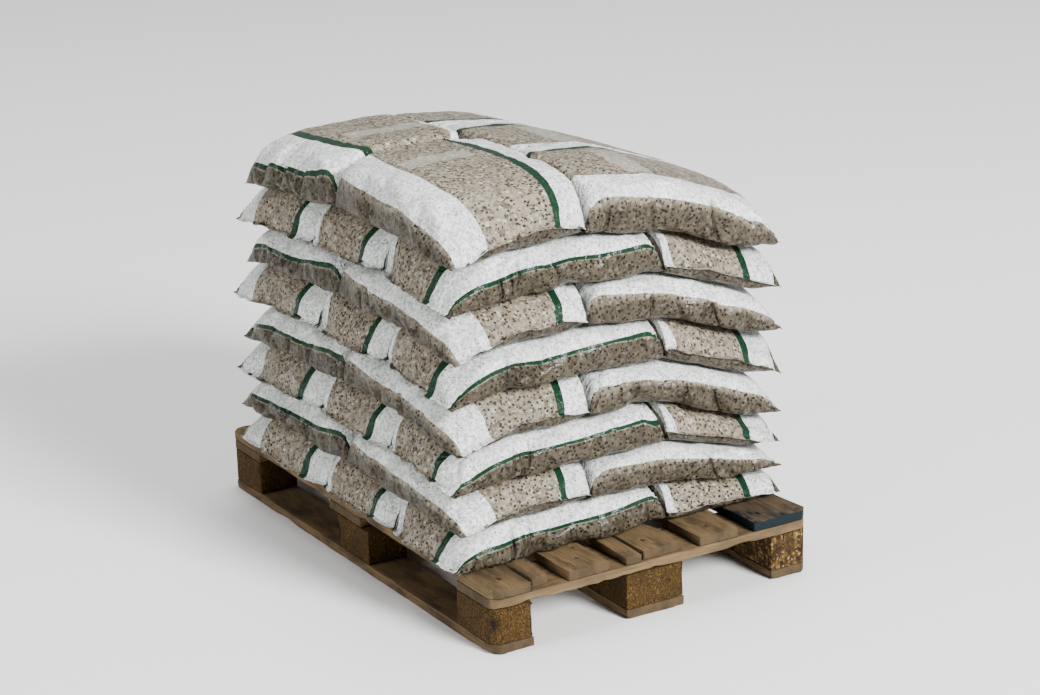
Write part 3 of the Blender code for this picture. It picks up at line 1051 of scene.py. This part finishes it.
def box_grid(xs, ys, zs):
    """Points and outward faces of a closed box whose sides are divided at the given lines."""
    sizes = len(xs), len(ys), len(zs)
    numbers, points, faces = {}, [], []

    def number(key):
        if key not in numbers:
            numbers[key] = len(points)
            points.append((xs[key[0]], ys[key[1]], zs[key[2]]))
        return numbers[key]

    for axis in range(3):
        first, second = (axis + 1) % 3, (axis + 2) % 3
        for side in (0, sizes[axis] - 1):
            for i in range(sizes[first] - 1):
                for j in range(sizes[second] - 1):
                    ring = []
                    for di, dj in ((0, 0), (1, 0), (1, 1), (0, 1)):
                        key = [0, 0, 0]
                        key[axis], key[first], key[second] = side, i + di, j + dj
                        ring.append(number(tuple(key)))
                    faces.append(ring if side else ring[::-1])
    return np.array(points), faces


def knocks(points, low, high, axis, others, count, draw):
    """How much each point is knocked in where the edges have been hit."""
    total = np.zeros(len(points))
    for _ in range(count):
        place = draw.uniform(low[axis], high[axis])
        size = draw.uniform(0.012, 0.045)
        corner = [draw.choice([low[k], high[k]]) for k in others]
        near = np.exp(-((points[:, axis] - place) / size) ** 2)
        for k, edge, reach in zip(others, corner, KNOCK_REACH):
            near = near * np.clip(1 - np.abs(points[:, k] - edge) / reach, 0, 1)
        total += near
    return total


def slit_shares(run, wide, top, end, slits):
    """How far into a slit each point is, which sets its painted shade, and how deep it goes. end is where the board
    ends.
    """
    hole_shade, deep = np.zeros(len(run)), np.zeros(len(run))
    for place, over, length, width, depth in slits:
        taper = 1 - ((run - place) / length) ** 2
        mouth = (run > end - 0.0001) & (place > end - 0.02)
        inside = np.clip(1.8 * taper - np.abs(wide - over) / width * 0.8, 0, 1) * (top | mouth) * (taper > 0.02)
        deep += depth * inside
        hole_shade = np.maximum(hole_shade, inside)
    return hole_shade, deep


def cut_pallet_corners(points):
    excess = np.abs(points[:, 0]) + np.abs(points[:, 1]) - (PALLET_X + PALLET_Y - PALLET_CORNER)
    over = (excess > 0) & (np.abs(points[:, 0]) > PALLET_X - 0.05)
    points[over, :2] -= np.sign(points[over, :2]) * excess[over, None] / 2
    return points


print("tools for wear ready")

# %% Worn box


def slit_lines(slits, axis, across):
    """Extra grid lines for the slits, along each of the three axes."""
    extra = [[], [], []]
    for place, over, length, width, _ in slits:
        extra[axis] += [place + length * step for step in (-1, -0.6, 0.0, 0.6, 1)]
        extra[across] += [over + width * step for step in (-2.2, -1, 0.0, 1, 2.2)]
    return extra


def worn_box(name, node, axis, material, seed, cell=BOARD_CELL, spalls=5, edit=None, relief=0.0007, slits=()):
    """A CAD box rebuilt as a worn piece. axis is the way its grain runs.

    A slit is (place along the grain, place across, half length, half width, depth) in its top.
    """
    low, high = (np.array(corner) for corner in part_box(node))
    others = [k for k in range(3) if k != axis]
    cells = [0.0, 0.0, 0.0]
    cells[axis], cells[others[0]], cells[others[1]] = cell
    extra = slit_lines(slits, axis, others[0])
    points, faces = box_grid(*(lines(low[k], high[k], cells[k], extra[k]) for k in range(3)))
    top = points[:, others[1]] > high[others[1]] - 0.0001
    draw = np.random.default_rng(seed)
    inner = np.clip(points, low + EDGE_ROUND, high - EDGE_ROUND)
    away = points - inner
    away /= np.linalg.norm(away, axis=1, keepdims=True) + 1e-12
    points = inner + away * EDGE_ROUND
    run, wide, deep = points[:, axis], points[:, others[0]], points[:, others[1]]
    ridges = (value_noise(run, wide + deep, 0.045, seed) * 0.5
              + value_noise(run * 0.12, wide + 0.7 * deep, 0.0065, seed + 1))
    knocked = knocks(points, low, high, axis, others, spalls, draw)
    hole_shade, slit_depth = slit_shares(run, wide, top, high[axis], slits)
    edges = np.linalg.norm(away, axis=1) * (np.sum(np.abs(away) > 0.3, axis=1) > 1)
    scuff = np.clip(knocked * 2 + edges * np.clip(value_noise(run, wide, 0.03, seed + 2), 0, 1), 0, 1)
    points = points + away * (relief * (ridges - 0.9) - KNOCK_DEPTH * knocked - slit_depth)[:, None]
    ends = np.minimum(run - low[axis], high[axis] - run) < EDGE_ROUND * 0.5
    scuff = np.where(ends, END_DIRT, scuff)
    paint = np.zeros(len(points))
    if edit:
        points, scuff, paint, hole_shade = edit(points, low, high, scuff, paint, hole_shade)
    points = cut_pallet_corners(points)
    mesh = bpy.data.meshes.new(name)
    mesh.from_pydata(points.tolist(), [], faces)
    pith = np.array([draw.uniform(0, 9), draw.uniform(-0.06, 0.06), draw.choice([-1, 1]) * draw.uniform(0.02, 0.09)])
    order = [axis, *others]
    grain = points[:, order] - (low[order] + high[order]) / 2 + pith
    wear_paint_and_hole_shade = np.column_stack([scuff, paint, hole_shade])
    for label, values in (("grain", grain), ("wear_paint_and_hole_shade", wear_paint_and_hole_shade)):
        mesh.attributes.new(label, "FLOAT_VECTOR", "POINT").data.foreach_set("vector", values.ravel())
    mesh.materials.append(material)
    piece = add_object(name, mesh)
    mesh.shade_smooth()
    mesh.set_sharp_from_angle(angle=math.radians(50))
    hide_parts(node)
    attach(piece, "root")
    return piece


print("worn box ready")

# %% [markdown]
# ## Blocks, stringers and bottom boards
#
# Every pallet of this kind has nine blocks, three stringers across them and three boards below. This
# one has its own marks: a hole in the nearest corner with its shade painted dark, a pale ragged edge on the
# front stringer with a red stain at its far end, and bottom boards worn dark at their ends. Such marks could
# be sculpted by hand, but then they couldn't be made again. Each is a small function that moves points and
# sets wear, paint and painted shade after the general wear is done.

# %% Blocks and stringers
NEAR_BLOCK, FAR_BLOCK = (3, 1), (3, 3)
NEAR_HOLE, HOLE_SIZE = np.array([0.600, -0.400, 0.066]), 0.012


def knocked_corner(points, low, high, scuff, paint, hole_shade):
    """The dent in the corner of the nearest block, with its shade painted nearly black."""
    near = np.exp(-(np.linalg.norm((points - NEAR_HOLE) * (1, 1, 0.8), axis=1) / HOLE_SIZE) ** 2)
    inward = (low + high) / 2 - NEAR_HOLE
    return points + near[:, None] * inward / np.linalg.norm(inward) * 0.009, scuff, paint, np.clip(near * 1.3, 0, 1)


def front_stringer(points, low, high, scuff, paint, hole_shade):
    """Its cut edge is pale, the lower arris is ragged, and the far end is stained red."""
    y = points[:, 1]
    outer = points[:, 0] > high[0] - 0.004
    lower = (np.clip((low[2] + 0.012 - points[:, 2]) / 0.012, 0, 1)
             * np.clip((points[:, 0] - high[0] + 0.012) / 0.012, 0, 1))
    ragged = value_noise(y, y * 0, 0.075, 41) * 0.6 + value_noise(y, y * 0, 0.021, 42) * 0.4
    points[:, 2] += lower * np.clip(ragged, 0, 1) * 0.0075
    scuff = np.where(outer, 0.5, scuff)
    return points, scuff, np.where(y > high[1] - 0.13, 0.9 * (1 - 0.6 * outer), 0.0), hole_shade


def dark_ends(points, low, high, scuff, paint, hole_shade):
    """A bottom board, worn ragged and nearly black at its ends."""
    x = points[:, 0]
    at_end = np.clip(1 - np.minimum(x - low[0], high[0] - x) / 0.035, 0, 1)
    under = points[:, 2] < low[2] + 0.002
    points[:, 2] += under * at_end * np.clip(value_noise(points[:, 1], x, 0.030, 51), 0, 1) * 0.004
    return points, np.minimum(scuff, 1 - 1.7 * at_end), paint, hole_shade


for row in (1, 2, 3):
    for column in (1, 2, 3):
        coarse = (row, column) == FAR_BLOCK
        worn_box(f"chip_block_{row}_{column}", f"block_{row}_{column}", 2, coarse_chips if coarse else fine_chips,
                 100 + 10 * row + column, cell=(0.008, 0.010, 0.010), spalls=4, relief=0.0009,
                 edit=knocked_corner if (row, column) == NEAR_BLOCK else None)
for number in (1, 2, 3):
    worn_box(f"stringer_{number}", f"stringer_board_{number}", 1, deck_wood, 200 + number,
             edit=front_stringer if number == 3 else None)
    worn_box(f"bottom_runner_{number}", f"bottom_board_{number}", 0, deck_wood, 210 + number, spalls=9,
             edit=dark_ends)
print("nine blocks, three stringers and three bottom boards")

# %% [markdown]
# ## Deck boards
#
# The deck boards stick out from under the load, so their ends are seen closely. Each has a nail slit or two
# in its end, the first and the third have split along the grain, and the strips beside the splits have
# moved. The last board carries old dark paint on its end. Cutting splits with booleans would tear up the
# grid, so the points are pushed down instead and the shade inside is painted dark. Nails at the hidden end
# are set evenly.

# %% Deck boards
SLITS = {
    1: ((0.544, -0.351, 0.010, 0.0022, 0.004), (0.482, -0.333, 0.009, 0.0020, 0.004),
        (0.600, -0.300, 0.150, 0.0026, 0.008)),
    2: ((0.543, -0.160, 0.009, 0.0022, 0.004), (0.488, -0.136, 0.007, 0.0018, 0.004)),
    3: ((0.542, 0.008, 0.009, 0.0022, 0.004), (0.600, -0.030, 0.190, 0.0018, 0.008)),
    4: ((0.550, 0.161, 0.008, 0.0022, 0.004),),
    5: ((0.554, 0.295, 0.008, 0.0020, 0.003),),
}
BACK_NAILS = 0.545


def stepped_end(points, low, high, scuff, paint, hole_shade):
    """The first board has split, and the strip behind the split ends short."""
    back = (points[:, 1] > -0.300) * np.clip((points[:, 0] - high[0] + 0.090) / 0.090, 0, 1)
    points[:, 0] -= 0.017 * back
    points[:, 2] -= 0.0015 * back
    return points, scuff, paint, hole_shade


def sagging_strip(points, low, high, scuff, paint, hole_shade):
    """The third board has split, and the strip before the split sits lower."""
    front = points[:, 1] < -0.030
    near = np.clip((points[:, 0] - high[0] + 0.150) / 0.150, 0, 1)
    points[:, 2] -= 0.0035 * front * near * (points[:, 2] > low[2] + 0.004)
    points[:, 0] -= 0.005 * ~front * near
    return points, scuff, paint, hole_shade


def painted_end(points, low, high, scuff, paint, hole_shade):
    """Paint is left on the end and in patches near it."""
    near_end = np.clip((points[:, 0] - (high[0] - 0.12)) / 0.12, 0, 1)
    lower = np.clip((high[2] - points[:, 2]) / 0.003, 0, 1)
    return points, scuff * 0.4, 0.40 * near_end + 0.70 * lower, hole_shade


EDITS = {1: stepped_end, 3: sagging_strip, 5: painted_end}
for number in range(1, 6):
    painted = number == 5
    centre = sum(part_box(f"deck_board_{number}")[side][1] for side in (0, 1)) / 2
    back = tuple((-BACK_NAILS, centre + side * 0.024, 0.006, 0.0020, 0.003) for side in (-1, 1))
    worn_box(f"deck_plank_{number}", f"deck_board_{number}", 0, painted_wood if painted else deck_wood,
             220 + number, spalls=8, edit=EDITS.get(number),
             slits=SLITS[number] + back)
print("five deck boards")

# %% [markdown]
# ## Sizes
#
# The dressed model should stay about as large as the CAD part; this cell only prints its box.

# %% Sizes
low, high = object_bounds()
print("visual box", [round(v, 3) for v in high - low])
